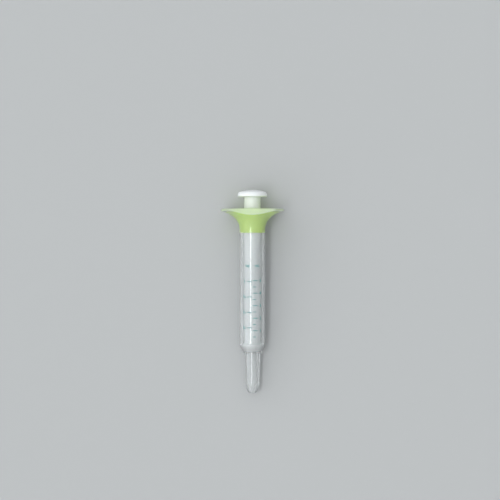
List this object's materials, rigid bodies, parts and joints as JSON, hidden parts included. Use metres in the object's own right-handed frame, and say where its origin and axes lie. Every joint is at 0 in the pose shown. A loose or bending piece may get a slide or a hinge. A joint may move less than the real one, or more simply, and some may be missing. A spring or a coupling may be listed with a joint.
{
  "type": "oral syringe",
  "caption": "Oral medicine syringe: clear barrel with a hollow nozzle, a bell-mouthed flange with two flats, a green guide funnel and a white plunger with a mushroom head.",
  "frame": {"origin": "centre of the nozzle's outlet hole, in the nozzle's end face", "axes": "+X along the syringe's axis from the nozzle to the plunger's head, +Z out of the side with the printed scale and square to the flange's two flats, +Y across the wide way of the flange"},
  "size_m": [0.1268, 0.0392, 0.027],
  "materials": {
    "barrel_clear": "clear moulded, polished",
    "funnel_green": "translucent moulded, satin",
    "plunger_white": "moulded, satin",
    "piston_white": "moulded, satin",
    "seal_silicone": "translucent silicone",
    "scale_ink": "pad-printed ink"
  },
  "bodies": {
    "barrel": {"barrel": "barrel_clear", "guide_funnel": "funnel_green", "dose_scale": "scale_ink"},
    "seal": {"piston_seal": "seal_silicone"},
    "plunger": {"plunger_rod": "plunger_white", "piston": "piston_white"}
  },
  "joints": [
    {"name": "plunger_slide", "type": "slide", "parent": "barrel", "child": "seal", "axis": [1, 0, 0], "range_m": [0, 0.0683]},
    {"name": "plunger_swivel", "type": "hinge", "parent": "seal", "child": "plunger", "pos_m": [0.0297, 0, 0], "axis": [1, 0, 0], "continuous": true}
  ]
}
